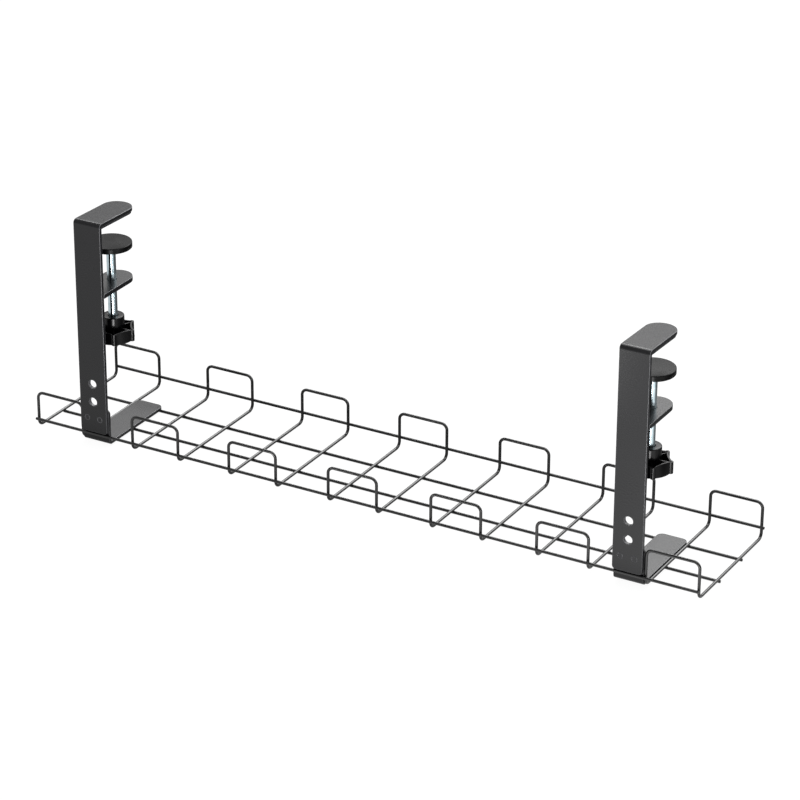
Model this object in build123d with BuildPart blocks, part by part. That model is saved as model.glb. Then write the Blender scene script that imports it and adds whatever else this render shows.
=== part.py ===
from build123d import *
import os
from math import cos, pi, sin, tan

# Under-desk cable grid: a welded wire tray hung from two screw clamps.
# Millimetres, +X along the tray, -Y towards the clamps' posts, +Z up.
# The origin is the middle of the bounding box's underside.

# Wire tray
wire_diameter = 3.2
hoop_count = 7
hoop_pitch = 120.0
hoop_width = 57.0          # between the centre lines of a hoop's two wires
tray_depth = 148.0         # between the centre lines of the front and back uprights
lip_height = 38.9          # centre line of a lip's top bar above the floor wires
bend_radius = 6.6          # centre line of every bend in a hoop
front_rail_height = 8.7    # above the floor wires' centre line
back_rail_height = 9.2
front_floor_rail_reach = 47.6   # from the front uprights' centre line
back_floor_rail_reach = 99.6

# Clamp post: flat steel with its top bent back as the upper jaw
post_hoop_gap = 0.1        # between a post and the end hoop's nearer wire
post_width = 32.7
post_thickness = 4.2
post_height = 240.3        # from its lower edge to the outer corner of its bend
post_rail_gap = 1.5        # between the front rail and the post's lower edge
post_bend_inner = 0.3
upper_jaw_dip = 2.0        # how far the jaw is bent past a right angle, in degrees
upper_jaw_reach = 72.4     # from the post's front face to the jaw's tip
post_corner_radius = 4.0
post_hole_diameter = 9.5
post_hole_spacing = 20.5
post_hole_rise = 35.4      # lower hole above the post's lower edge
rivet_diameter = 6.4
rivet_spacing = 15.6
rivet_rise = 16.1          # above the post's lower edge
rivet_dimple_depth = 0.5

# Pad under the upper jaw
top_pad_thickness = 2.4
top_pad_inset = 1.0

# Lower jaw and its screw
lower_jaw_thickness = 5.2
lower_jaw_reach = 64.9     # from the post's back face
lower_jaw_drop = 79.4      # from the outer corner of the post's bend to the jaw's top
screw_diameter = 10.0
screw_reach = 38.6         # screw axis behind the post's back face
screw_clearance = 0.05     # radial, in the lower jaw
screw_chamfer = 0.8
spigot_diameter = 6.0      # the screw's reduced end, in the pressure disc
spigot_length = 3.4
spigot_clearance = 0.05
shoulder_gap = 0.1         # between the screw's shoulder and the disc

# Pressure disc
disc_diameter = 45.5
disc_thickness = 6.0
disc_edge_chamfer = 0.6
desk_gap = 28.6            # between the pad and the disc as stored, on the screw's axis

# Star knob
knob_corner_count = 6
knob_corner_radius = 24.8  # axis to the tip of a corner
knob_waist_radius = 19.4   # axis to the middle of a hollow side, at the wall's top
knob_foot_waist_radius = 22.2   # the same at the underside, where the sides bulge
knob_corner_round = 2.6
knob_height = 12.8
knob_wall = 2.0
knob_floor = 2.0
knob_rib = 1.6
knob_turn = 4.7            # how far the first corner is turned from +X, in degrees
hub_diameter = 23.8
hub_height = 26.0          # above the knob's underside
hub_chamfer = 0.8
knob_drop = 90.6           # the disc's underside to the knob's wall top

# Bracket that carries the tray
bracket_thickness = 3.8
bracket_bend_inner = 1.2
bracket_rise = 38.4        # flange top above the floor wires' centre line
bracket_rail_cover = 3.6   # how far the plate runs past the back floor rail's centre line
bracket_plate_corner = 6.5
bracket_flange_corner = 5.0

# Places that follow from the sizes
wire_radius = wire_diameter / 2
rail_floor_z = wire_radius
wire_z = rail_floor_z + wire_diameter
lip_z = wire_z + lip_height
tray_half_length = (hoop_count - 1) * hoop_pitch / 2 + hoop_width / 2 + wire_radius
flange_face = -wire_radius
front_face = flange_face - post_thickness
back_face = tray_depth + wire_diameter + wire_radius
shift_y = -(front_face + back_face) / 2
front_wire_y = shift_y
back_wire_y = front_wire_y + tray_depth
post_front_y = front_wire_y + front_face
post_back_y = front_wire_y + flange_face
front_rail_z = wire_z + front_rail_height
back_rail_z = wire_z + back_rail_height
post_bottom_z = front_rail_z + wire_radius + post_rail_gap
post_top_z = post_bottom_z + post_height
jaw_tip_radius = post_width / 2
jaw_sine = sin(upper_jaw_dip * pi / 180)
jaw_cosine = cos(upper_jaw_dip * pi / 180)
jaw_fall = tan(upper_jaw_dip * pi / 180)
jaw_tip_y = post_front_y + upper_jaw_reach * jaw_cosine
jaw_tip_z = post_top_z - upper_jaw_reach * jaw_sine
bend_inner_z = post_top_z - post_thickness / jaw_cosine - post_thickness * jaw_fall
lower_jaw_top_z = post_top_z - lower_jaw_drop
lower_jaw_bottom_z = lower_jaw_top_z - lower_jaw_thickness
lower_jaw_tip_y = post_back_y + lower_jaw_reach
screw_y = post_back_y + screw_reach
pad_bottom_z = post_top_z - (screw_y - post_front_y) * jaw_fall - (post_thickness + top_pad_thickness) / jaw_cosine
disc_top_z = pad_bottom_z - desk_gap
disc_bottom_z = disc_top_z - disc_thickness
shoulder_z = disc_bottom_z - shoulder_gap
knob_top_z = disc_bottom_z - knob_drop
knob_bottom_z = knob_top_z - knob_height
bracket_bottom_z = rail_floor_z + wire_radius
bracket_end_y = front_wire_y + back_floor_rail_reach + bracket_rail_cover
bracket_top_z = wire_z + bracket_rise
clamp_x = (hoop_count - 1) * hoop_pitch / 2 - hoop_width / 2 - wire_radius - post_hoop_gap - post_width / 2

os.makedirs("parts", exist_ok=True)


def save(solid, name):
    solid.label = name
    export_step(solid, f"parts/{name}.step")


# Hoops: each is one wire, bent into a closed loop with a lip at the front and at the back
def hoop(x_mid):
    left = x_mid - hoop_width / 2
    right = x_mid + hoop_width / 2
    corners = [
        (left, front_wire_y, lip_z),
        (right, front_wire_y, lip_z),
        (right, front_wire_y, wire_z),
        (right, back_wire_y, wire_z),
        (right, back_wire_y, lip_z),
        (left, back_wire_y, lip_z),
        (left, back_wire_y, wire_z),
        (left, front_wire_y, wire_z),
    ]
    with BuildPart() as loop:
        with BuildLine() as path:
            FilletPolyline(*corners, radius=bend_radius, close=True)
        start = path.line @ 0
        heading = path.line % 0
        with BuildSketch(Plane(origin=start, z_dir=heading)):
            Circle(wire_radius)
        sweep()
    return loop.part


for number in range(hoop_count):
    x_mid = (number - (hoop_count - 1) / 2) * hoop_pitch
    save(hoop(x_mid), f"hoop_wire_{number + 1}")


# Rails: straight wires along the tray, their ends flush with the end hoops
def rail(y, z):
    with BuildPart() as bar:
        with BuildSketch(Plane.YZ.offset(-tray_half_length)):
            with Locations((y, z)):
                Circle(wire_radius)
        extrude(amount=2 * tray_half_length)
    return bar.part


save(rail(front_wire_y - wire_diameter, front_rail_z), "front_rail")
save(rail(front_wire_y + front_floor_rail_reach, rail_floor_z), "floor_rail_front")
save(rail(front_wire_y + back_floor_rail_reach, rail_floor_z), "floor_rail_back")
save(rail(back_wire_y + wire_diameter, back_rail_z), "back_rail")


# Post: a flat bar with its top bent back, a little past a right angle, into a round-ended jaw
def jaw_plane(x_mid):
    """Plane on the upper jaw's top: its origin is the bend's outer corner and its Y runs along the jaw."""
    return Plane(origin=(x_mid, post_front_y, post_top_z), x_dir=(1, 0, 0), z_dir=(0, jaw_sine, jaw_cosine))


def post(x_mid):
    bend_outer = post_bend_inner + post_thickness
    with BuildPart() as bar:
        with BuildSketch(Plane.YZ.offset(x_mid - post_width / 2)):
            with BuildLine():
                Polyline(
                    (post_front_y, post_bottom_z),
                    (post_front_y, post_top_z),
                    (jaw_tip_y, jaw_tip_z),
                    (jaw_tip_y - post_thickness * jaw_sine, jaw_tip_z - post_thickness * jaw_cosine),
                    (post_back_y, bend_inner_z),
                    (post_back_y, post_bottom_z),
                    close=True,
                )
            make_face()
        extrude(amount=post_width)
        cross_edges = bar.edges().filter_by(Axis.X)
        outer = cross_edges.sort_by_distance((x_mid, post_front_y, post_top_z))[0]
        inner = cross_edges.sort_by_distance((x_mid, post_back_y, bend_inner_z))[0]
        fillet(outer, radius=bend_outer)
        fillet(inner, radius=post_bend_inner)
        tip_edges = bar.edges().filter_by(Axis((0, 0, 0), (0, jaw_sine, jaw_cosine)))
        fillet(tip_edges, radius=jaw_tip_radius - 0.001)
        foot_edges = bar.edges().filter_by(Axis.Y).group_by(Axis.Z)[0]
        fillet(foot_edges, radius=post_corner_radius)
        hole_z = post_bottom_z + post_hole_rise + post_hole_spacing / 2
        with BuildSketch(Plane.XZ.offset(-post_back_y)):
            with Locations((x_mid, hole_z)):
                with GridLocations(1, post_hole_spacing, 1, 2):
                    Circle(post_hole_diameter / 2)
        extrude(amount=post_thickness, mode=Mode.SUBTRACT)
        with BuildSketch(Plane.XZ.offset(-post_front_y)):
            with Locations((x_mid, post_bottom_z + rivet_rise)):
                with GridLocations(rivet_spacing, 1, 2, 1):
                    Circle(rivet_diameter / 2)
        extrude(amount=-rivet_dimple_depth, mode=Mode.SUBTRACT)
    return bar.part


# Anti-slip pad glued under the upper jaw, its edge set in from the jaw's
def top_pad(x_mid):
    pad_radius = jaw_tip_radius - top_pad_inset
    arc_reach = upper_jaw_reach - jaw_tip_radius
    start_reach = post_thickness + post_bend_inner + top_pad_inset
    with BuildPart() as pad:
        with BuildSketch(jaw_plane(x_mid).offset(-post_thickness)):
            with Locations((0, arc_reach)):
                Circle(pad_radius)
            with Locations((0, (start_reach + arc_reach) / 2)):
                Rectangle(post_width - 2 * top_pad_inset, arc_reach - start_reach)
        extrude(amount=-top_pad_thickness)
    return pad.part


# Lower jaw: a round-ended plate welded to the post's back, with the screw's hole
def lower_jaw(x_mid):
    arc_y = lower_jaw_tip_y - jaw_tip_radius
    with BuildPart() as jaw:
        with BuildSketch(Plane.XY.offset(lower_jaw_bottom_z)):
            with Locations((x_mid, arc_y)):
                Circle(jaw_tip_radius)
            with Locations((x_mid, (post_back_y + arc_y) / 2)):
                Rectangle(post_width, arc_y - post_back_y)
            with Locations((x_mid, screw_y)):
                Circle(screw_diameter / 2 + screw_clearance, mode=Mode.SUBTRACT)
        extrude(amount=lower_jaw_thickness)
    return jaw.part


# Screw: a plated rod with a spigot at its top that turns in the disc
def screw(x_mid):
    radius = screw_diameter / 2
    spigot_radius = spigot_diameter / 2
    top_z = disc_bottom_z + spigot_length
    with BuildPart() as rod:
        with BuildSketch(Plane.XZ.offset(-screw_y)):
            with BuildLine():
                Polyline(
                    (x_mid, knob_bottom_z + knob_floor),
                    (x_mid + radius, knob_bottom_z + knob_floor),
                    (x_mid + radius, shoulder_z - screw_chamfer),
                    (x_mid + radius - screw_chamfer, shoulder_z),
                    (x_mid + spigot_radius, shoulder_z),
                    (x_mid + spigot_radius, top_z),
                    (x_mid, top_z),
                    close=True,
                )
            make_face()
        revolve(axis=Axis((x_mid, screw_y, 0), (0, 0, 1)))
    return rod.part


# Pressure disc: presses on the desk's underside
def pad_disc(x_mid):
    bore_radius = spigot_diameter / 2 + spigot_clearance
    with BuildPart() as disc:
        with BuildSketch(Plane.XY.offset(disc_bottom_z)):
            with Locations((x_mid, screw_y)):
                Circle(disc_diameter / 2)
        extrude(amount=disc_thickness)
        rims = disc.edges().filter_by(GeomType.CIRCLE)
        chamfer(rims, length=disc_edge_chamfer)
        with BuildSketch(Plane.XY.offset(disc_bottom_z)):
            with Locations((x_mid, screw_y)):
                Circle(bore_radius)
        extrude(amount=spigot_length + shoulder_gap, mode=Mode.SUBTRACT)
    return disc.part


# Star knob: a hollow moulding with hollow sides, ribs and a hub on the screw
def knob_outline(inset, waist_radius):
    """Closed outline of arcs: a round corner and a hollow side, repeated around the axis."""
    step = 2 * pi / knob_corner_count
    corner_at = knob_corner_radius - knob_corner_round
    round_radius = knob_corner_round - inset
    waist = waist_radius - inset
    for number in range(knob_corner_count):
        angle = knob_turn * pi / 180 + number * step
        tip = corner_at + round_radius
        before = angle - round_radius / corner_at
        after = angle + round_radius / corner_at
        next_before = before + step
        middle = angle + step / 2
        ThreePointArc(
            (corner_at * cos(before), corner_at * sin(before)),
            (tip * cos(angle), tip * sin(angle)),
            (corner_at * cos(after), corner_at * sin(after)),
        )
        ThreePointArc(
            (corner_at * cos(after), corner_at * sin(after)),
            (waist * cos(middle), waist * sin(middle)),
            (corner_at * cos(next_before), corner_at * sin(next_before)),
        )


def star_knob(x_mid):
    seat = Plane((x_mid, screw_y, knob_bottom_z))
    inner_round = knob_wall
    with BuildPart() as knob:
        with BuildSketch(seat):
            with BuildLine():
                knob_outline(0, knob_foot_waist_radius)
            make_face()
        with BuildSketch(seat.offset(knob_height)):
            with BuildLine():
                knob_outline(0, knob_waist_radius)
            make_face()
        loft(ruled=True)
        with BuildSketch(seat.offset(knob_floor)):
            with BuildLine():
                knob_outline(inner_round, knob_waist_radius)
            make_face()
        extrude(amount=knob_height - knob_floor, mode=Mode.SUBTRACT)
        with BuildSketch(seat):
            Circle(hub_diameter / 2)
        extrude(amount=hub_height)
        hub_rim = knob.edges().filter_by(GeomType.CIRCLE).group_by(Axis.Z)[-1]
        chamfer(hub_rim, length=hub_chamfer)
        rib_length = knob_corner_radius - knob_corner_round - hub_diameter / 2
        rib_middle = hub_diameter / 2 + rib_length / 2
        with BuildSketch(seat.rotated((0, 0, knob_turn))):
            with PolarLocations(rib_middle, knob_corner_count):
                Rectangle(rib_length + knob_wall, knob_rib)
        extrude(amount=knob_height - 1)
        with BuildSketch(seat.offset(knob_floor)):
            Circle(screw_diameter / 2)
        extrude(amount=hub_height, mode=Mode.SUBTRACT)
    return knob.part


# Tray bracket: an angle whose plate lies on the floor rails and whose flange is riveted to the post
def tray_bracket(x_mid):
    plate_top_z = bracket_bottom_z + bracket_thickness
    flange_back_y = post_back_y + bracket_thickness
    bend_outer = bracket_bend_inner + bracket_thickness
    with BuildPart() as angle:
        with BuildSketch(Plane.YZ.offset(x_mid - post_width / 2)):
            with BuildLine():
                Polyline(
                    (post_back_y, bracket_bottom_z),
                    (bracket_end_y, bracket_bottom_z),
                    (bracket_end_y, plate_top_z),
                    (flange_back_y, plate_top_z),
                    (flange_back_y, bracket_top_z),
                    (post_back_y, bracket_top_z),
                    close=True,
                )
            make_face()
        extrude(amount=post_width)
        cross_edges = angle.edges().filter_by(Axis.X)
        outer = cross_edges.sort_by_distance((x_mid, post_back_y, bracket_bottom_z))[0]
        inner = cross_edges.sort_by_distance((x_mid, flange_back_y, plate_top_z))[0]
        fillet(outer, radius=bend_outer)
        fillet(inner, radius=bracket_bend_inner)
        plate_corners = angle.edges().filter_by(Axis.Z).group_by(Axis.Y)[-1]
        fillet(plate_corners, radius=bracket_plate_corner)
        flange_corners = angle.edges().filter_by(Axis.Y).group_by(Axis.Z)[-1]
        fillet(flange_corners, radius=bracket_flange_corner)
    return angle.part


for side, x_mid in (("left", -clamp_x), ("right", clamp_x)):
    save(post(x_mid), f"{side}_post")
    save(top_pad(x_mid), f"{side}_top_pad")
    save(lower_jaw(x_mid), f"{side}_lower_jaw")
    save(screw(x_mid), f"{side}_screw")
    save(pad_disc(x_mid), f"{side}_pad_disc")
    save(star_knob(x_mid), f"{side}_star_knob")
    save(tray_bracket(x_mid), f"{side}_tray_bracket")
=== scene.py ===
from math import asin, atan2, cos, pi, radians, sin, tan

import bmesh
import bpy
from mathutils import Matrix, Vector


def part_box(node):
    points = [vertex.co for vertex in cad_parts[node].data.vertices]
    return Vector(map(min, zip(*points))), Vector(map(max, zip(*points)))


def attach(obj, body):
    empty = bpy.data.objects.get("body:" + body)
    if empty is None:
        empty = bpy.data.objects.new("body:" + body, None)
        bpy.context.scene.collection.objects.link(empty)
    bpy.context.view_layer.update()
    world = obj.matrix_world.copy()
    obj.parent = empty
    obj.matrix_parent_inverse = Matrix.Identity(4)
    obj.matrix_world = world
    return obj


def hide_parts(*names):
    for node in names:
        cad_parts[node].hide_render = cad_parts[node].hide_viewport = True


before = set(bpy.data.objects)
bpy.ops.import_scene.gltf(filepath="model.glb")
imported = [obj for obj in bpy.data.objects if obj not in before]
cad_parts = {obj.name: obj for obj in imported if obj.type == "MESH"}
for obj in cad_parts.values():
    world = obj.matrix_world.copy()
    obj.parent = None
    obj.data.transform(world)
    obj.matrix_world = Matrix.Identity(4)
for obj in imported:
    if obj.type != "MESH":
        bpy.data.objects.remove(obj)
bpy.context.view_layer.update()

MM = 0.001
SNAP = 1e-6
X_AXIS = Vector((1, 0, 0))
Y_AXIS = Vector((0, 1, 0))
Z_AXIS = Vector((0, 0, 1))


# Materials


def srgb(code):
    """Linear colour of an sRGB hex value."""
    parts = [int(code[i:i + 2], 16) / 255 for i in (1, 3, 5)]
    return [c / 12.92 if c <= 0.04045 else ((c + 0.055) / 1.055) ** 2.4 for c in parts] + [1.0]


def add_node(tree, kind, links=None, inputs=None, **settings):
    """A new node with its settings, its sockets' values and the links into it."""
    made = tree.nodes.new(kind)
    for name, value in settings.items():
        setattr(made, name, value)
    for name, value in (inputs or {}).items():
        made.inputs[name].default_value = value
    for name, source in (links or {}).items():
        tree.links.new(source, made.inputs[name])
    return made


def ramp(tree, source, stops):
    """A colour ramp whose stops are (place, colour) pairs."""
    made = add_node(tree, "ShaderNodeValToRGB", {"Fac": source})
    points = made.color_ramp.elements
    while len(points) < len(stops):
        points.new(0.5)
    for point, (place, colour) in zip(points, stops):
        point.position = place
        point.color = colour
    return made.outputs["Color"]


def new_material(name):
    """An empty material, its surface shader and its Object coordinates."""
    material = bpy.data.materials.new(name)
    material.use_nodes = True
    tree = material.node_tree
    tree.nodes.clear()
    shader = add_node(tree, "ShaderNodeBsdfPrincipled")
    add_node(tree, "ShaderNodeOutputMaterial", {"Surface": shader.outputs["BSDF"]})
    place = add_node(tree, "ShaderNodeTexCoord").outputs["Object"]
    return material, tree, shader, place


# Nearly all of a noise texture's values lie between these two
NOISE_LOW, NOISE_HIGH = 0.3, 0.7


def vary_colour(tree, shader, noise, dark, light):
    """Base colour that wanders between two near tones with a noise."""
    tones = ramp(tree, noise.outputs["Fac"], [(NOISE_LOW, srgb(dark)), (NOISE_HIGH, srgb(light))])
    tree.links.new(tones, shader.inputs["Base Color"])


def vary_roughness(tree, shader, noise, low, high):
    """Roughness that wanders between two values with a noise."""
    spread = {"From Min": NOISE_LOW, "From Max": NOISE_HIGH, "To Min": low, "To Max": high}
    made = add_node(tree, "ShaderNodeMapRange", {"Value": noise.outputs["Fac"]}, spread)
    tree.links.new(made.outputs["Result"], shader.inputs["Roughness"])


def powder_coated_steel(name, dark, light, rough, ior):
    """Sprayed and baked polyester powder: a satin black film with a fine orange-peel ripple."""
    material, tree, shader, place = new_material(name)
    shader.inputs["IOR"].default_value = ior
    # Film thickness varies over a few centimetres, which shifts the black a little
    cloud = add_node(tree, "ShaderNodeTexNoise", {"Vector": place}, {"Scale": 1 / (30 * MM), "Detail": 3.0})
    vary_colour(tree, shader, cloud, dark, light)
    # Orange peel: ripples about 1.6 mm apart over grains of 0.5 mm
    peel = add_node(tree, "ShaderNodeTexNoise", {"Vector": place},
                    {"Scale": 1 / (1.6 * MM), "Detail": 2.0, "Roughness": 0.4})
    grain = add_node(tree, "ShaderNodeTexNoise", {"Vector": place},
                     {"Scale": 1 / (0.5 * MM), "Detail": 1.0})
    vary_roughness(tree, shader, grain, rough - 0.02, rough + 0.03)
    ripple = add_node(tree, "ShaderNodeBump", {"Height": peel.outputs["Fac"]},
                      {"Strength": 0.08, "Distance": 0.03 * MM})
    fine = add_node(tree, "ShaderNodeBump",
                    {"Height": grain.outputs["Fac"], "Normal": ripple.outputs["Normal"]},
                    {"Strength": 0.05, "Distance": 0.012 * MM})
    tree.links.new(fine.outputs["Normal"], shader.inputs["Normal"])
    return material


def zinc_plated_steel():
    """Bright zinc with blue passivation on rolled steel: mirror-like, cool, with faint streaks."""
    material, tree, shader, place = new_material("zinc_plated_steel_blue_passivated")
    shader.inputs["Metallic"].default_value = 1.0
    cloud = add_node(tree, "ShaderNodeTexNoise", {"Vector": place}, {"Scale": 1 / (6 * MM), "Detail": 2.0})
    vary_colour(tree, shader, cloud, "#b4c6cc", "#cfdde3")
    # Streaks about 0.8 mm wide left by thread rolling
    stretched = add_node(tree, "ShaderNodeMapping", {"Vector": place}, {"Scale": (1.0, 1.0, 0.06)})
    streak = add_node(tree, "ShaderNodeTexNoise", {"Vector": stretched.outputs["Vector"]},
                      {"Scale": 1 / (0.8 * MM), "Detail": 2.0})
    vary_roughness(tree, shader, streak, 0.1, 0.14)
    scratch = add_node(tree, "ShaderNodeBump", {"Height": streak.outputs["Fac"]},
                       {"Strength": 0.05, "Distance": 0.01 * MM})
    tree.links.new(scratch.outputs["Normal"], shader.inputs["Normal"])
    return material


def moulded_plastic(name, dark, light, rough, ior):
    """Injection-moulded black plastic from a polished tool: deep black, smooth, with faint flow marks."""
    material, tree, shader, place = new_material(name)
    shader.inputs["IOR"].default_value = ior
    flow = add_node(tree, "ShaderNodeTexNoise", {"Vector": place},
                    {"Scale": 1 / (9 * MM), "Detail": 2.0, "Distortion": 0.6})
    vary_colour(tree, shader, flow, dark, light)
    vary_roughness(tree, shader, flow, rough - 0.03, rough + 0.04)
    # Tool texture of about 0.4 mm, far shallower than the ripple of the coat on the steel
    tool = add_node(tree, "ShaderNodeTexNoise", {"Vector": place}, {"Scale": 1 / (0.4 * MM), "Detail": 1.0})
    skin = add_node(tree, "ShaderNodeBump", {"Height": tool.outputs["Fac"]},
                    {"Strength": 0.08, "Distance": 0.006 * MM})
    tree.links.new(skin.outputs["Normal"], shader.inputs["Normal"])
    return material


def matt_rubber():
    """Calendered EVA rubber sheet: matt, near black, with closed pores of about 0.35 mm."""
    material, tree, shader, place = new_material("eva_rubber_calendered")
    shader.inputs["Roughness"].default_value = 0.85
    cloud = add_node(tree, "ShaderNodeTexNoise", {"Vector": place}, {"Scale": 1 / (5 * MM), "Detail": 3.0})
    vary_colour(tree, shader, cloud, "#0a0a0b", "#101011")
    pore = add_node(tree, "ShaderNodeTexVoronoi", {"Vector": place}, {"Scale": 1 / (0.35 * MM)})
    skin = add_node(tree, "ShaderNodeBump", {"Height": pore.outputs["Distance"]},
                    {"Strength": 0.5, "Distance": 0.05 * MM})
    tree.links.new(skin.outputs["Normal"], shader.inputs["Normal"])
    return material


# The IOR starts at the 1.5 of baked powder, nylon and PVC and is then matched to each piece's gloss
coat = powder_coated_steel("powder_coated_flat_steel", "#151518", "#19191c", rough=0.27, ior=1.5)
# The powder pulls back from a sheared edge, so the film there is thinner; the light grey on every rounded
# edge is a painted edge highlight
edge_highlight_coat = powder_coated_steel("powder_coat_painted_edge_highlight", "#666669", "#747478", rough=0.3, ior=1.5)
wire_coat = powder_coated_steel("powder_coated_steel_wire", "#0a0a0b", "#0e0e0f", rough=0.2, ior=1.72)
zinc = zinc_plated_steel()
knob_plastic = moulded_plastic("moulded_nylon_glossy", "#040405", "#060607", rough=0.2, ior=1.34)
disc_plastic = moulded_plastic("moulded_pvc_soft", "#0a0a0b", "#0c0c0d", rough=0.24, ior=1.22)
rubber = matt_rubber()
# Material slot of the painted edge highlight
EDGE_HIGHLIGHT_SLOT = 1


# Mesh helpers


def verts_of(geometry):
    return [g for g in geometry if isinstance(g, bmesh.types.BMVert)]


def edges_of(geometry):
    return [g for g in geometry if isinstance(g, bmesh.types.BMEdge)]


def faces_of(geometry):
    return [g for g in geometry if isinstance(g, bmesh.types.BMFace)]


def all_of(bm):
    """Everything in a mesh."""
    return bm.verts[:] + bm.edges[:] + bm.faces[:]


def in_metres(outline):
    """An outline of (radius, height) points given in millimetres."""
    return [(radius * MM, height * MM) for radius, height in outline]


def mesh_from(bm, name):
    """Turns a finished bmesh into a mesh."""
    mesh = bpy.data.meshes.new(name)
    bm.to_mesh(mesh)
    bm.free()
    return mesh


def add_shape(bm, shape):
    """Adds a finished bmesh to another as a shell of its own."""
    mesh = mesh_from(shape, "shape")
    bm.from_mesh(mesh)
    bpy.data.meshes.remove(mesh)


def new_object(name, data):
    """A new object in the scene."""
    made = bpy.data.objects.new(name, data)
    bpy.context.scene.collection.objects.link(made)
    return made


def shade(mesh, smooth_angle):
    """Smooth shading that stays sharp past an angle in degrees."""
    mesh.shade_smooth()
    mesh.set_sharp_from_angle(angle=radians(smooth_angle))


def to_piece(bm, name, material, body, slot, *nodes, smooth_angle=40):
    """Turns a finished bmesh into a piece that rides on a body and replaces CAD nodes."""
    mesh = mesh_from(bm, name)
    mesh.materials.append(material)
    # Rounded edges of coated pieces take the light grey of the painted edge highlight
    if material == coat:
        mesh.materials.append(edge_highlight_coat)
    obj = new_object(name, mesh)
    shade(mesh, smooth_angle)
    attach(obj, body)
    if nodes:
        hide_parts(*nodes)
    return obj


def keep_flats_flat(obj):
    """Weights the normals by face area, so that the flat faces stay flat beside their rounded rims."""
    modifier = obj.modifiers.new("weighted_normals", "WEIGHTED_NORMAL")
    modifier.keep_sharp = True
    modifier.weight = 90


def round_edges(bm, edges, offset, segments, slot=-1):
    """Rounds edges by an offset in metres; the new faces may take another material slot."""
    bmesh.ops.bevel(bm, geom=edges, offset=offset, offset_type="OFFSET", segments=segments, profile=0.5,
                    affect="EDGES", material=slot, clamp_overlap=False)


def rim_edges(bm, angle):
    """The edges of a mesh that are sharper than an angle in degrees, which the coat rounds."""
    return [e for e in bm.edges if len(e.link_faces) == 2 and e.calc_face_angle(0) > radians(angle)]


def edges_at_height(edges, z):
    """The edges that lie at a height."""
    return [e for e in edges if all(abs(v.co.z - z) < SNAP for v in e.verts)]


def edges_off_width(edges):
    """The edges that don't run along a bar's width."""
    return [e for e in edges if abs((e.verts[0].co - e.verts[1].co).x) < SNAP]


def extrude_face(bm, face, move):
    """Pushes a face out by a vector and returns the face at its far end."""
    made = bmesh.ops.extrude_face_region(bm, geom=[face, *face.edges, *face.verts])["geom"]
    bmesh.ops.translate(bm, verts=verts_of(made), vec=move)
    return faces_of(made)[0]


def spin(bm, geometry, centre, axis, angle, steps, rise=0.0, merge=False):
    """Sweeps geometry round an axis, rising at each step, and returns what lies at the far end."""
    made = bmesh.ops.spin(bm, geom=geometry, cent=centre, axis=axis, dvec=(0, 0, rise), angle=angle,
                          steps=steps, use_merge=merge, use_normal_flip=False, use_duplicate=False)
    return made["geom_last"]


def bend_bar(bm, face, centre, angle, steps):
    """Sweeps the end face of a flat bar round a line along X, as a bend, and returns the new end face."""
    return faces_of(spin(bm, [face, *face.edges, *face.verts], centre, X_AXIS, angle, steps))[0]


def block(bm, low, high):
    """A plain block between two corners, as the start of a bar."""
    middle = (Vector(low) + Vector(high)) / 2
    size = Vector(high) - Vector(low)
    shape = Matrix.Translation(middle) @ Matrix.Diagonal((*size, 1.0))
    return bmesh.ops.create_cube(bm, size=1.0, matrix=shape)["verts"]


def face_towards(verts, direction):
    """The face of a few vertices that points most nearly in a direction."""
    faces = {f for v in verts for f in v.link_faces}
    return max(faces, key=lambda f: f.normal.dot(direction))


def lathe(bm, outline, centre, steps):
    """Turns an outline of (radius, height) points about the vertical line through a centre."""
    verts = [bm.verts.new(Vector(centre) + Vector((r, 0, z))) for r, z in outline]
    edges = [bm.edges.new(pair) for pair in zip(verts, verts[1:])]
    spin(bm, verts + edges, centre, Z_AXIS, 2 * pi, steps, merge=True)
    bmesh.ops.remove_doubles(bm, verts=bm.verts[:], dist=SNAP)
    bmesh.ops.recalc_face_normals(bm, faces=bm.faces[:])


def add_plug(bm, outline, centre, axis_turn):
    """Adds a closed turned cutter: an outline of (radius, height) about an axis through a centre."""
    turned = bmesh.new()
    lathe(turned, outline, (0, 0, 0), 40)
    bmesh.ops.transform(turned, matrix=Matrix.Translation(centre) @ axis_turn, verts=turned.verts[:])
    add_shape(bm, turned)


def cut_with(obj, cutter_bm):
    """Cuts holes and marks into a piece with one mesh of closed cutters."""
    cutter_mesh = mesh_from(cutter_bm, "cutter")
    cutter = new_object("cutter", cutter_mesh)
    modifier = obj.modifiers.new("cut", "BOOLEAN")
    modifier.operation = "DIFFERENCE"
    modifier.solver = "EXACT"
    modifier.object = cutter
    bpy.context.view_layer.update()
    cut_obj = obj.evaluated_get(bpy.context.evaluated_depsgraph_get())
    result = bpy.data.meshes.new_from_object(cut_obj)
    obj.modifiers.clear()
    uncut = obj.data
    name = uncut.name
    obj.data = result
    bpy.data.meshes.remove(uncut)
    result.name = name
    bpy.data.objects.remove(cutter)
    bpy.data.meshes.remove(cutter_mesh)
    shade(result, 40)


# Tray of bent and straight wires


HOOPS = range(1, 8)
WIRE_SIDES = 16
HOOP_BEND = 6.6 * MM
HOOP_BEND_STEPS = 8
rail_low, rail_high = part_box("front_rail")
wire_radius = (rail_high.z - rail_low.z) / 2


def wire_line(node):
    """The box of a bent wire's middle line."""
    low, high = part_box(node)
    inset = Vector((wire_radius,) * 3)
    return low + inset, high - inset


def wire_ring(bm, centre, heading):
    """The circle of a wire across its heading."""
    turn = heading.to_track_quat("Z", "Y").to_matrix().to_4x4()
    made = bmesh.ops.create_circle(bm, cap_ends=False, segments=WIRE_SIDES, radius=wire_radius,
                                   matrix=Matrix.Translation(centre) @ turn)
    return list({e for v in made["verts"] for e in v.link_edges})


def draw_straight(bm, edges, move):
    """Draws the wire's open end on in a straight run and returns the new end."""
    made = bmesh.ops.extrude_edge_only(bm, edges=edges)["geom"]
    bmesh.ops.translate(bm, verts=verts_of(made), vec=move)
    return edges_of(made)


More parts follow.
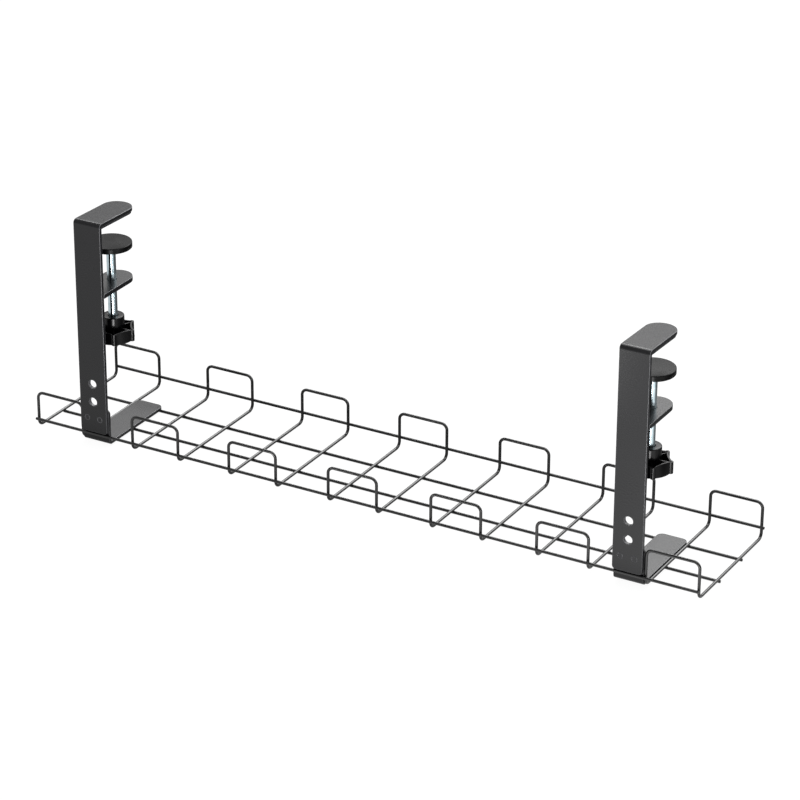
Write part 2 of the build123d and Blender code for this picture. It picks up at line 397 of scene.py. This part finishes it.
def bend_hoop(bm, corners):
    """One closed wire through its corners, each with the same bend."""
    count = len(corners)
    start = (corners[-1] + corners[0]) / 2
    end = start
    edges = wire_ring(bm, start, (corners[0] - corners[-1]).normalized())
    for i in range(count):
        corner = corners[i]
        into = (corner - corners[i - 1]).normalized()
        out = (corners[(i + 1) % count] - corner).normalized()
        edges = draw_straight(bm, edges, corner - into * HOOP_BEND - end)
        centre = corner + (out - into) * HOOP_BEND
        edges = edges_of(spin(bm, edges, centre, into.cross(out), pi / 2, HOOP_BEND_STEPS))
        end = corner + out * HOOP_BEND
    draw_straight(bm, edges, start - end)
    bmesh.ops.remove_doubles(bm, verts=bm.verts[:], dist=1e-5)
    bmesh.ops.recalc_face_normals(bm, faces=bm.faces[:])


def hoop_piece(number):
    """Closed wire: over the front lip, back along the floor, over the back lip and forward again."""
    node = f"hoop_wire_{number}"
    low, high = wire_line(node)
    bm = bmesh.new()
    bend_hoop(bm, [
        Vector((low.x, low.y, high.z)), Vector((high.x, low.y, high.z)),
        Vector((high.x, low.y, low.z)), Vector((high.x, high.y, low.z)),
        Vector((high.x, high.y, high.z)), Vector((low.x, high.y, high.z)),
        Vector((low.x, high.y, low.z)), Vector((low.x, low.y, low.z)),
    ])
    to_piece(bm, f"{node}_bent", wire_coat, "tray", "powder_coat", node)


def rail_piece(node):
    """Straight wire, its sheared ends softened by the coat."""
    low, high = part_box(node)
    shape = Matrix.Translation((low + high) / 2) @ Matrix.Rotation(pi / 2, 4, "Y")
    bm = bmesh.new()
    bmesh.ops.create_cone(bm, cap_ends=True, cap_tris=False, segments=WIRE_SIDES, radius1=wire_radius,
                          radius2=wire_radius, depth=high.x - low.x, matrix=shape)
    round_edges(bm, rim_edges(bm, 60), 0.4 * MM, 3)
    to_piece(bm, f"{node}_sheared", wire_coat, "tray", "powder_coat", node)


def nugget(bm, spot, reach):
    """A drop of weld metal with its own reach along each axis."""
    shape = Matrix.Translation(spot) @ Matrix.Diagonal((*reach, 1.0))
    bmesh.ops.create_icosphere(bm, subdivisions=2, radius=1.0, matrix=shape)


def crossing_welds():
    """Resistance welds: a small nugget of metal squeezed out where two wires cross."""
    wide = 1.4 * MM
    thin = 0.6 * MM
    bm = bmesh.new()
    for number in HOOPS:
        low, high = wire_line(f"hoop_wire_{number}")
        for x in (low.x, high.x):
            for node in ("floor_rail_front", "floor_rail_back"):
                rail_low, rail_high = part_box(node)
                nugget(bm, (x, (rail_low.y + rail_high.y) / 2, rail_high.z), (wide, wide, thin))
            for node, y in (("front_rail", low.y - wire_radius), ("back_rail", high.y + wire_radius)):
                rail_low, rail_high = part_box(node)
                nugget(bm, (x, y, (rail_low.z + rail_high.z) / 2), (wide, thin, wide))
    to_piece(bm, "wire_crossing_welds", wire_coat, "tray", "powder_coat")


for number in HOOPS:
    hoop_piece(number)
for node in ("front_rail", "floor_rail_front", "floor_rail_back", "back_rail"):
    rail_piece(node)
crossing_welds()


# Clamps, with the sizes of the part's source that the CAD's boxes don't give


POST_THICKNESS = 4.2 * MM
POST_BEND_INNER = 0.3 * MM
POST_RISE = 240.3 * MM
JAW_DIP = radians(2.0)
JAW_REACH = 72.4 * MM
PAD_THICKNESS = 2.4 * MM
PAD_SETBACK = 1.0 * MM
HOLE_RADIUS = 4.75 * MM
HOLE_RISE = 35.4 * MM
HOLE_SPACING = 20.5 * MM
MARK_RISE = 16.1 * MM
MARK_ASIDE = 7.8 * MM
JAW_BORE = 5.05 * MM
THREAD_PITCH = 1.5 * MM
THREAD_DEPTH = 0.07 * MM
THREAD_SIDES = 32
KNOB_TURN = radians(4.7)
KNOB_CORNER_AT = 22.2 * MM
KNOB_CORNER_ROUND = 2.6 * MM
KNOB_FOOT_WAIST = 22.19 * MM
KNOB_WAIST = 19.4 * MM
KNOB_WALL_HEIGHT = 12.8 * MM
KNOB_WALL = 2.0 * MM
BRACKET_THICKNESS = 3.8 * MM
BRACKET_BEND_INNER = 1.2 * MM

# A cutter starts and ends this far outside the plate that it cuts
CUT_PAST = 1.0 * MM
# A round tip is two rounded corners that stop just short of each other
TIP_GAP = 0.01 * MM
TIP_STEPS = 20
STAND_ALONG_Y = Matrix.Rotation(pi / 2, 4, "X")


def punched_hole():
    """A cutter's outline whose ends flare, which rolls the hole's edge in on both faces of the post."""
    roll = 0.5 * MM
    arc = [(roll * (1 - sin(radians(d))), roll * (1 - cos(radians(d)))) for d in (0, 30, 60, 90)]
    outline = [(0, CUT_PAST), (HOLE_RADIUS + roll, CUT_PAST)]
    outline += [(HOLE_RADIUS + out, -down) for out, down in arc]
    outline += [(HOLE_RADIUS + out, down - POST_THICKNESS) for out, down in reversed(arc)]
    outline += [(HOLE_RADIUS + roll, -POST_THICKNESS - CUT_PAST), (0, -POST_THICKNESS - CUT_PAST)]
    return outline


def post_piece(side):
    """Flat bar bent back over itself into the upper jaw, punched and marked before it was coated."""
    node = f"{side}_post"
    low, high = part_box(node)
    x = (low.x + high.x) / 2
    half = (high.x - low.x) / 2
    outer = POST_THICKNESS + POST_BEND_INNER
    turn = pi / 2 + JAW_DIP
    tangent = outer * tan(turn / 2)
    bend_z = low.z + POST_RISE - tangent
    bm = bmesh.new()
    verts = block(bm, (low.x, low.y, low.z), (high.x, low.y + POST_THICKNESS, bend_z))
    tip = bend_bar(bm, face_towards(verts, Z_AXIS), (x, low.y + outer, bend_z), -turn, 14)
    tip = extrude_face(bm, tip, Vector((0, cos(JAW_DIP), -sin(JAW_DIP))) * (JAW_REACH - tangent))
    round_edges(bm, edges_off_width(tip.edges), half - TIP_GAP, TIP_STEPS)
    round_edges(bm, edges_off_width(edges_at_height(bm.edges, low.z)), 4.0 * MM, 6)
    round_edges(bm, rim_edges(bm, 70), 0.5 * MM, 3, EDGE_HIGHLIGHT_SLOT)
    obj = to_piece(bm, f"{side}_post_bent", coat, "tray", "powder_coat", node)
    cutter = bmesh.new()
    for rise in (HOLE_RISE, HOLE_RISE + HOLE_SPACING):
        add_plug(cutter, punched_hole(), (x, low.y, low.z + rise), STAND_ALONG_Y)
    # Ring marks pressed into the front, where the bar seems to be staked to the bracket behind it
    groove = in_metres([(2.1, 0.5), (3.6, 0.5), (3.5, 0), (3.2, -0.3), (2.9, -0.45), (2.5, -0.3), (2.2, 0),
                        (2.1, 0.5)])
    for aside in (-MARK_ASIDE, MARK_ASIDE):
        add_plug(cutter, groove, (x + aside, low.y, low.z + MARK_RISE), STAND_ALONG_Y)
    # The cut faces of the holes and ring marks take the light grey of the painted edge highlight
    for face in cutter.faces:
        face.material_index = EDGE_HIGHLIGHT_SLOT
    cut_with(obj, cutter)
    keep_flats_flat(obj)


def round_ended_plate(bm, x, half, start_y, tip_y, low_z, high_z, rim, slot=-1):
    """A plate that lies flat, square at its start and round at its tip."""
    verts = block(bm, (x - half, start_y, low_z), (x + half, tip_y, high_z))
    round_edges(bm, edges_off_width(face_towards(verts, Y_AXIS).edges), half - TIP_GAP, TIP_STEPS)
    round_edges(bm, rim_edges(bm, 70), rim, 3, slot)


def top_pad_piece(side):
    """Rubber glued under the upper jaw and following its dip."""
    node = f"{side}_top_pad"
    low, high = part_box(f"{side}_post")
    half = (high.x - low.x) / 2 - PAD_SETBACK
    start = POST_THICKNESS + POST_BEND_INNER + PAD_SETBACK
    bm = bmesh.new()
    round_ended_plate(bm, 0, half, start, JAW_REACH - PAD_SETBACK,
                      -POST_THICKNESS - PAD_THICKNESS, -POST_THICKNESS, 0.5 * MM)
    corner = Vector(((low.x + high.x) / 2, low.y, low.z + POST_RISE))
    dip = Matrix.Translation(corner) @ Matrix.Rotation(-JAW_DIP, 4, "X")
    bmesh.ops.transform(bm, matrix=dip, verts=bm.verts[:])
    obj = to_piece(bm, f"{node}_rubber", rubber, "tray", "black_rubber", node)
    keep_flats_flat(obj)


def weld_bead(bm, shape, around, along):
    """A bead of weld metal: a ball of a few faces, drawn out by its matrix."""
    bmesh.ops.create_uvsphere(bm, u_segments=around, v_segments=along, radius=1.0, matrix=shape)


def lower_jaw_piece(side):
    """Round-ended plate with the screw's tapped hole, welded to the post."""
    node = f"{side}_lower_jaw"
    low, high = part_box(node)
    screw_low, screw_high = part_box(f"{side}_screw")
    x = (low.x + high.x) / 2
    y = (screw_low.y + screw_high.y) / 2
    bm = bmesh.new()
    round_ended_plate(bm, x, (high.x - low.x) / 2, low.y, high.y, low.z, high.z, 0.45 * MM, EDGE_HIGHLIGHT_SLOT)
    obj = to_piece(bm, f"{side}_lower_jaw_plate", coat, "tray", "powder_coat", node)
    flare = 0.5 * MM
    deep = high.z - low.z
    cutter = bmesh.new()
    add_plug(cutter, [
        (0, CUT_PAST), (JAW_BORE + flare, CUT_PAST), (JAW_BORE + flare, 0), (JAW_BORE, -flare),
        (JAW_BORE, -deep + flare), (JAW_BORE + flare, -deep), (JAW_BORE + flare, -deep - CUT_PAST),
        (0, -deep - CUT_PAST),
    ], (x, y, high.z), Matrix.Identity(4))
    cut_with(obj, cutter)
    keep_flats_flat(obj)
    # Weld bead along the corner under the plate, its ends drawn out
    lie_along_x = Matrix.Translation((x, low.y, low.z)) @ Matrix.Rotation(pi / 2, 4, "Y")
    bm = bmesh.new()
    weld_bead(bm, lie_along_x @ Matrix.Diagonal((1.7 * MM, 1.7 * MM, 13 * MM, 1.0)), 24, 16)
    to_piece(bm, f"{side}_jaw_weld", coat, "tray", "powder_coat")


def screw_piece(side):
    """Rolled M10 screw: shallow, flat-crested thread from the knob up to the disc."""
    node = f"{side}_screw"
    low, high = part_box(node)
    axis = Vector(((low.x + high.x) / 2, (low.y + high.y) / 2, 0))
    crest = (high.x - low.x) / 2
    root = crest - THREAD_DEPTH
    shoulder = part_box(f"{side}_pad_disc")[0].z - 0.1 * MM
    start = low.z - 2 * THREAD_PITCH
    # One turn of thread, its outline given in shares of the pitch
    outline = [(crest, 0), (crest, 0.6), (root, 0.76), (root, 0.84), (crest, 1.0)]
    bm = bmesh.new()
    verts = [bm.verts.new(axis + Vector((r, 0, start + share * THREAD_PITCH))) for r, share in outline]
    edges = [bm.edges.new(pair) for pair in zip(verts, verts[1:])]
    spin(bm, verts + edges, axis, Z_AXIS, 2 * pi, THREAD_SIDES, rise=THREAD_PITCH / THREAD_SIDES)
    # The turns are doubled until they are longer than the rod
    turns = 1
    while turns * THREAD_PITCH < shoulder - low.z + 4 * THREAD_PITCH:
        copy = bmesh.ops.duplicate(bm, geom=all_of(bm))["geom"]
        bmesh.ops.translate(bm, verts=verts_of(copy), vec=(0, 0, turns * THREAD_PITCH))
        turns *= 2
    bmesh.ops.remove_doubles(bm, verts=bm.verts[:], dist=1e-5)
    for z, outwards in ((low.z, -Z_AXIS), (shoulder, Z_AXIS)):
        cut = bmesh.ops.bisect_plane(bm, geom=all_of(bm), dist=1e-7, plane_co=(0, 0, z), plane_no=outwards,
                                     clear_outer=True)
        bmesh.ops.edgeloop_fill(bm, edges=edges_of(cut["geom_cut"]))
    bmesh.ops.recalc_face_normals(bm, faces=bm.faces[:])
    # Reduced end that turns inside the disc
    sunk = 0.5 * MM
    swivel_radius = 3.0 * MM
    bmesh.ops.create_cone(bm, cap_ends=True, cap_tris=False, segments=32, radius1=swivel_radius,
                          radius2=swivel_radius, depth=high.z - shoulder + sunk,
                          matrix=Matrix.Translation((axis.x, axis.y, (high.z + shoulder - sunk) / 2)))
    obj = to_piece(bm, f"{node}_rolled", zinc, f"{side}_turning_screw", "zinc_plate", node, smooth_angle=25)
    keep_flats_flat(obj)


def disc_piece(side):
    """Moulded pressure disc: soft rims, a parting line and a recessed underside round the swivel."""
    node = f"{side}_pad_disc"
    low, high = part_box(node)
    # The outline in millimetres, from the middle of the underside round to the middle of the top
    edge = 22.75
    swivel =[(0, 3.5), (3.05, 3.5), (3.05, 0.9), (3.4, 0.5), (8.0, 0.5), (8.4, 0.9)]
    foot = [(18.8, 0.9), (19.2, 0.2), (19.5, 0), (22.0, 0), (22.4, 0.1), (22.67, 0.35), (edge, 0.7)]
    parting_line = [(edge, 2.0), (22.55, 2.15), (22.55, 2.35), (edge, 2.5)]
    top = [(edge, 5.2), (22.67, 5.6), (22.4, 5.87), (22.0, 6.0), (0, 6.0)]
    bm = bmesh.new()
    centre = ((low.x + high.x) / 2, (low.y + high.y) / 2, low.z)
    lathe(bm, in_metres(swivel + foot + parting_line + top), centre, 72)
    obj = to_piece(bm, f"{node}_moulded", disc_plastic, f"{side}_disc", "black_plastic", node)
    keep_flats_flat(obj)


def knob_outline(bm, centre, waist):
    """Closed line of the star: six round corners joined by hollow or bulging sides."""
    step = pi / 3
    spread = KNOB_CORNER_ROUND / KNOB_CORNER_AT
    inward = step / 2 - spread
    chord = KNOB_CORNER_AT * cos(inward)
    hollow_at = (KNOB_CORNER_AT ** 2 - waist ** 2) / (2 * (chord - waist))
    half_hollow = asin(KNOB_CORNER_AT * sin(inward) / (hollow_at - waist))
    reach = KNOB_CORNER_AT * cos(spread)
    rise = KNOB_CORNER_AT * sin(spread)
    tip = KNOB_CORNER_AT + KNOB_CORNER_ROUND
    tip_radius = ((tip - reach) ** 2 + rise ** 2) / (2 * (tip - reach))
    half_tip = atan2(rise, reach - tip + tip_radius)
    start = Matrix.Rotation(KNOB_TURN - spread, 3, "Z") @ Vector((KNOB_CORNER_AT, 0, 0))
    vert = bm.verts.new(centre + start)
    for number in range(6):
        out = Matrix.Rotation(KNOB_TURN + number * step, 3, "Z") @ X_AXIS
        vert = verts_of(spin(bm, [vert], centre + out * (tip - tip_radius), Z_AXIS, 2 * half_tip, 10))[0]
        out = Matrix.Rotation(KNOB_TURN + (number + 0.5) * step, 3, "Z") @ X_AXIS
        vert = verts_of(spin(bm, [vert], centre + out * hollow_at, Z_AXIS, -2 * half_hollow, 8))[0]


def hollow_star(bm, centre):
    """The knob's shell: bridged between its two outlines, hollow from above, with a rim underneath."""
    foot_z = centre.z
    top_z = foot_z + KNOB_WALL_HEIGHT
    knob_outline(bm, centre, KNOB_FOOT_WAIST)
    knob_outline(bm, centre + Z_AXIS * KNOB_WALL_HEIGHT, KNOB_WAIST)
    bmesh.ops.remove_doubles(bm, verts=bm.verts[:], dist=SNAP)
    rims = bm.edges[:]
    bmesh.ops.bridge_loops(bm, edges=rims)
    for z in (foot_z, top_z):
        bmesh.ops.edgeloop_fill(bm, edges=edges_at_height(rims, z))
    bmesh.ops.recalc_face_normals(bm, faces=bm.faces[:])
    top = max(bm.faces, key=lambda f: f.calc_center_median().z)
    under = min(bm.faces, key=lambda f: f.calc_center_median().z)
    for face, rim, push in ((top, KNOB_WALL, KNOB_WALL - KNOB_WALL_HEIGHT), (under, 3.0 * MM, 0.6 * MM)):
        bmesh.ops.inset_region(bm, faces=[face], thickness=rim, depth=0.0, use_even_offset=True,
                               use_boundary=True)
        extrude_face(bm, face, (0, 0, push))
    bmesh.ops.recalc_face_normals(bm, faces=bm.faces[:])
    round_edges(bm, rim_edges(bm, 70), 0.4 * MM, 3)


def knob_rib(bm, centre, number):
    """A rib from the hub to one corner, a little lower than the wall."""
    height = KNOB_WALL_HEIGHT - 2.0 * MM
    size = Matrix.Diagonal((12.3 * MM, 1.6 * MM, height, 1.0))
    turn = Matrix.Translation(centre) @ Matrix.Rotation(KNOB_TURN + number * pi / 3, 4, "Z")
    spot = Matrix.Translation((17.05 * MM, 0, KNOB_WALL_HEIGHT / 2))
    verts = bmesh.ops.create_cube(bm, size=1.0, matrix=turn @ spot @ size)["verts"]
    edges = {e for v in verts for e in v.link_edges}
    half_way = centre.z + KNOB_WALL_HEIGHT / 2
    round_edges(bm, [e for e in edges if all(v.co.z > half_way for v in e.verts)], 0.3 * MM, 2)


def knob_piece(side):
    """Hollow moulded star knob: its sides bulge at the foot and turn hollow at the wall's top."""
    node = f"{side}_star_knob"
    low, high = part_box(node)
    screw_low, screw_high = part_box(f"{side}_screw")
    centre = Vector(((screw_low.x + screw_high.x) / 2, (screw_low.y + screw_high.y) / 2, low.z))
    bm = bmesh.new()
    hollow_star(bm, centre)
    for number in range(6):
        knob_rib(bm, centre, number)
    top = (high.z - low.z) / MM
    outline = [
        (0, 1.0), (11.9, 1.0), (11.9, top - 1.0), (11.8, top - 0.6), (11.5, top - 0.25), (11.1, top),
        (6.2, top), (5.6, top - 0.3), (5.2, top - 1.0), (5.0, top - 2.0), (0, top - 2.0),
    ]
    hub = bmesh.new()
    lathe(hub, in_metres(outline), (0, 0, 0), 64)
    bmesh.ops.transform(hub, matrix=Matrix.Translation(centre), verts=hub.verts[:])
    add_shape(bm, hub)
    obj = to_piece(bm, f"{node}_moulded", knob_plastic, f"{side}_turning_screw", "black_plastic", node,
                   smooth_angle=35)
    keep_flats_flat(obj)


def bracket_piece(side):
    """Pressed angle behind the post's foot, its plate welded on the floor rails."""
    node = f"{side}_tray_bracket"
    low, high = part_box(node)
    x = (low.x + high.x) / 2
    outer = BRACKET_BEND_INNER + BRACKET_THICKNESS
    bm = bmesh.new()
    verts = block(bm, (low.x, low.y, low.z + outer), (high.x, low.y + BRACKET_THICKNESS, high.z))
    foot = face_towards(verts, -Z_AXIS)
    top_corners = edges_off_width(edges_at_height(bm.edges, high.z))
    foot = bend_bar(bm, foot, (x, low.y + outer, low.z + outer), pi / 2, 12)
    foot = extrude_face(bm, foot, (0, high.y - low.y - outer, 0))
    round_edges(bm, edges_off_width(foot.edges), 6.5 * MM, 8)
    round_edges(bm, top_corners, 5.0 * MM, 8)
    round_edges(bm, rim_edges(bm, 70), 0.4 * MM, 3, EDGE_HIGHLIGHT_SLOT)
    obj = to_piece(bm, f"{node}_pressed", coat, "tray", "powder_coat", node)
    keep_flats_flat(obj)
    # Short welds in the corners between the plate and the rails below it
    bead = Matrix.Diagonal((4.5 * MM, 0.8 * MM, 0.7 * MM, 1.0))
    bm = bmesh.new()
    for rail_name in ("floor_rail_front", "floor_rail_back"):
        rail_low, rail_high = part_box(rail_name)
        y = (rail_low.y + rail_high.y) / 2
        for aside in (-9 * MM, 9 * MM):
            for back in (-1.1 * MM, 1.1 * MM):
                spot = Matrix.Translation((x + aside, y + back, low.z - 0.35 * MM))
                weld_bead(bm, spot @ bead, 16, 10)
    to_piece(bm, f"{side}_bracket_welds", coat, "tray", "powder_coat")


for side in ("left", "right"):
    post_piece(side)
    top_pad_piece(side)
    lower_jaw_piece(side)
    screw_piece(side)
    disc_piece(side)
    knob_piece(side)
    bracket_piece(side)


# Studio and camera


PHOTO_SIDE = 800
FOCAL_PIXELS = 3367.7
SHIFT_RIGHT_PIXELS, SHIFT_UP_PIXELS = 30.76, 6.68
LENS_AZIMUTH = radians(30.02)
LENS_ELEVATION = radians(25.375)
# The lens is this far right of the tray's middle, in front of its front wires and above its floor wires
LENS_RIGHT, LENS_FORWARD, LENS_UP = 1.5473, 2.6432, 1.5664
front_corner = wire_line("hoop_wire_1")[0]
lens_spot = Vector((LENS_RIGHT, front_corner.y - LENS_FORWARD, front_corner.z + LENS_UP))
WHITE = (1.0, 1.0, 1.0, 1.0)


def grey_ramp(tree, source, stops):
    """A ramp whose stops are (place, grey) pairs."""
    return ramp(tree, source, [(place, (grey, grey, grey, 1.0)) for place, grey in stops])


def seen_by_lens(tree, light_path):
    """One for rays from the lens, also through something clear, and nothing for others."""
    rays = {0: light_path.outputs["Is Camera Ray"], 1: light_path.outputs["Is Transmission Ray"]}
    return add_node(tree, "ShaderNodeMath", rays, operation="MAXIMUM").outputs[0]


def painted_reflection_glow(tree):
    """Painted reflection: a glow on the paper that only reflections see, most in front and to the right,
    little behind the object.
    """
    spot = add_node(tree, "ShaderNodeTexCoord").outputs["Object"]
    place = add_node(tree, "ShaderNodeSeparateXYZ", {0: spot})
    across = add_node(tree, "ShaderNodeMapRange", {"Value": place.outputs["X"]},
                      {"From Min": 0.0, "From Max": 0.3, "To Min": 0.75, "To Max": 1.5})
    depth = add_node(tree, "ShaderNodeMapRange", {"Value": place.outputs["Y"]},
                     {"From Min": -0.13, "From Max": 0.13, "To Min": 0.0, "To Max": 1.0})
    along = grey_ramp(tree, depth.outputs["Result"], [(0.0, 1.0), (0.2, 0.5), (0.76, 0.35), (0.85, 0.12)])
    # The painted glow is bright on the open paper left of the tray too
    open_left = add_node(tree, "ShaderNodeMapRange", {"Value": place.outputs["X"]},
                         {"From Min": -0.6, "From Max": -0.42, "To Min": 1.0, "To Max": 0.0})
    either = add_node(tree, "ShaderNodeMath", {0: open_left.outputs["Result"], 1: along},
                      operation="MAXIMUM")
    pool = add_node(tree, "ShaderNodeMath", {0: across.outputs["Result"], 1: either.outputs[0]},
                    operation="MULTIPLY")
    return add_node(tree, "ShaderNodeEmission", {"Strength": pool.outputs[0]}, {"Color": WHITE})


def studio_floor():
    """Pale sweep under the object: white to the lens, with a painted glow graded by place in reflections,
    and a soft shadow left in.
    """
    bm = bmesh.new()
    bmesh.ops.create_grid(bm, x_segments=1, y_segments=1, size=9.0)
    mesh = mesh_from(bm, "studio_floor")
    floor = new_object("studio_floor", mesh)
    material = bpy.data.materials.new("white_paper_sweep")
    material.use_nodes = True
    tree = material.node_tree
    tree.nodes.clear()
    light_path = add_node(tree, "ShaderNodeLightPath")
    # The grey paper takes the shadow, and the glow that only the lens sees brings it up to white
    paper = add_node(tree, "ShaderNodeBsdfDiffuse", None, {"Color": srgb("#606060")})
    glow = add_node(tree, "ShaderNodeEmission", {"Strength": seen_by_lens(tree, light_path)},
                    {"Color": (0.955, 0.955, 0.955, 1.0)})
    lit = add_node(tree, "ShaderNodeAddShader", {0: paper.outputs[0], 1: glow.outputs[0]})
    both = add_node(tree, "ShaderNodeMixShader", {
        0: light_path.outputs["Is Glossy Ray"], 1: lit.outputs[0], 2: painted_reflection_glow(tree).outputs[0]})
    add_node(tree, "ShaderNodeOutputMaterial", {"Surface": both.outputs[0]})
    mesh.materials.append(material)


def soft_world():
    """Even light from all round, white to the lens, and a graded studio to reflections."""
    world = bpy.data.worlds.new("studio_world")
    bpy.context.scene.world = world
    world.use_nodes = True
    tree = world.node_tree
    tree.nodes.clear()
    light_path = add_node(tree, "ShaderNodeLightPath")
    direction = add_node(tree, "ShaderNodeTexCoord").outputs["Generated"]
    way = add_node(tree, "ShaderNodeSeparateXYZ", {0: direction})
    # Reflections meet a dim foot, a bright band above it that grows to the right, and a dark ceiling
    band = grey_ramp(tree, way.outputs["Z"], [
        (0.0, 0.1), (0.3, 0.12), (0.38, 0.2), (0.43, 0.34), (0.5, 0.85), (0.66, 1.0), (0.74, 0.08)])
    across = add_node(tree, "ShaderNodeMapRange", {"Value": way.outputs["X"]},
                      {"From Min": -0.55, "From Max": -0.35, "To Min": 2.6, "To Max": 5.0})
    behind = add_node(tree, "ShaderNodeMath", {0: band, 1: across.outputs["Result"]}, operation="MULTIPLY")
    # The band stands behind the object, and the side towards the lens is dim
    facing = add_node(tree, "ShaderNodeMapRange", {"Value": way.outputs["Y"]},
                      {"From Min": 0.0, "From Max": 0.3, "To Min": 0.0, "To Max": 1.0})
    reflected = add_node(tree, "ShaderNodeMix",
                         {"Factor": facing.outputs["Result"], "B": behind.outputs[0]}, {"A": 0.35})
    unseen = add_node(tree, "ShaderNodeMix",
                      {"Factor": light_path.outputs["Is Glossy Ray"], "B": reflected.outputs["Result"]},
                      {"A": 0.45})
    strength = add_node(tree, "ShaderNodeMix",
                        {"Factor": seen_by_lens(tree, light_path), "A": unseen.outputs["Result"]},
                        {"B": 1.0})
    back = add_node(tree, "ShaderNodeBackground", {"Strength": strength.outputs["Result"]},
                    {"Color": WHITE})
    add_node(tree, "ShaderNodeOutputWorld", {"Surface": back.outputs[0]})


def soft_box(name, spot, aim, width, length, power):
    """A rectangular softbox that the lens doesn't see."""
    light = bpy.data.lights.new(name, "AREA")
    light.shape = "RECTANGLE"
    light.size = width
    light.size_y = length
    light.energy = power
    box = new_object(name, light)
    box.location = spot
    box.rotation_euler = (Vector(aim) - Vector(spot)).to_track_quat("-Z", "Y").to_euler()
    box.visible_camera = False
    return box


def low_strip(side):
    """Strip light in front of a clamp, close to the floor, laid along the line from it to the lens."""
    low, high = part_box(f"{side}_screw")
    foot = Vector(((low.x + high.x) / 2, (low.y + high.y) / 2, 0))
    to_lens = Vector((lens_spot.x, lens_spot.y, 0)) - foot
    to_lens.normalize()
    spot = foot + to_lens * 0.42 + Vector((0, 0, 0.01))
    strip = soft_box(f"{side}_low_strip", spot, aim=spot + Z_AXIS, width=0.07, length=0.36, power=1.7)
    strip.rotation_euler = (pi, 0, atan2(to_lens.y, to_lens.x) + pi / 2)


def camera():
    """The photograph's view: azimuth 30 degrees, looking down 25 degrees, a long lens 3.5 m away."""
    data = bpy.data.cameras.new("camera")
    data.sensor_width = 36.0
    data.lens = FOCAL_PIXELS / PHOTO_SIDE * data.sensor_width
    data.shift_x = SHIFT_RIGHT_PIXELS / PHOTO_SIDE
    data.shift_y = SHIFT_UP_PIXELS / PHOTO_SIDE
    lens = new_object("camera", data)
    lens.location = lens_spot
    level = cos(LENS_ELEVATION)
    heading = Vector((-sin(LENS_AZIMUTH) * level, cos(LENS_AZIMUTH) * level, -sin(LENS_ELEVATION)))
    lens.rotation_euler = heading.to_track_quat("-Z", "Y").to_euler()
    bpy.context.scene.camera = lens


studio_floor()
soft_world()
soft_box("overhead_softbox", spot=(0.2, 0.5, 2.4), aim=(0, 0, 0), width=2.0, length=1.2, power=30)
soft_box("back_strip", spot=(-1.2, 1.75, 1.95), aim=(0, 0, 0.2), width=1.5, length=0.3, power=12)
for side in ("left", "right"):
    low_strip(side)
camera()

scene = bpy.context.scene
scene.view_settings.view_transform = "Standard"
